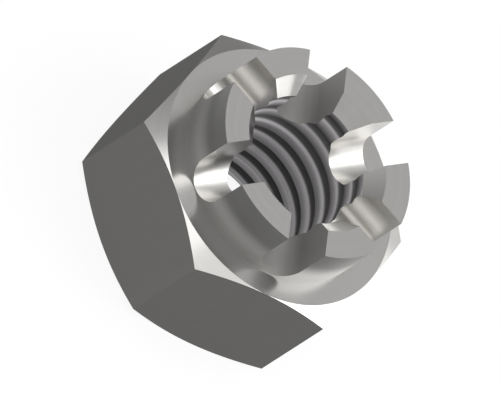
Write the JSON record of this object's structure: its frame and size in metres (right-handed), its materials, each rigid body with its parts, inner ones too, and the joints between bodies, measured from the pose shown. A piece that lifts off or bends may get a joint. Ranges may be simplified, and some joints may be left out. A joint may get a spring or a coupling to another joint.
{
  "type": "castle nut",
  "caption": "Hexagon castle nut: a chamfered hexagon under a narrower round crown with cotter-pin slots, and a metric threaded bore.",
  "frame": {"origin": "centre of the bearing face, on the axis of the threaded bore", "axes": "+Z along the bore towards the crown; +X through a corner of the hexagon, so +Y crosses a flat"},
  "size_m": [0.0196, 0.017, 0.012],
  "materials": {
    "bright_steel": "smooth machined, bright"
  },
  "bodies": {
    "root": {"castle_nut": "bright_steel"}
  },
  "joints": []
}
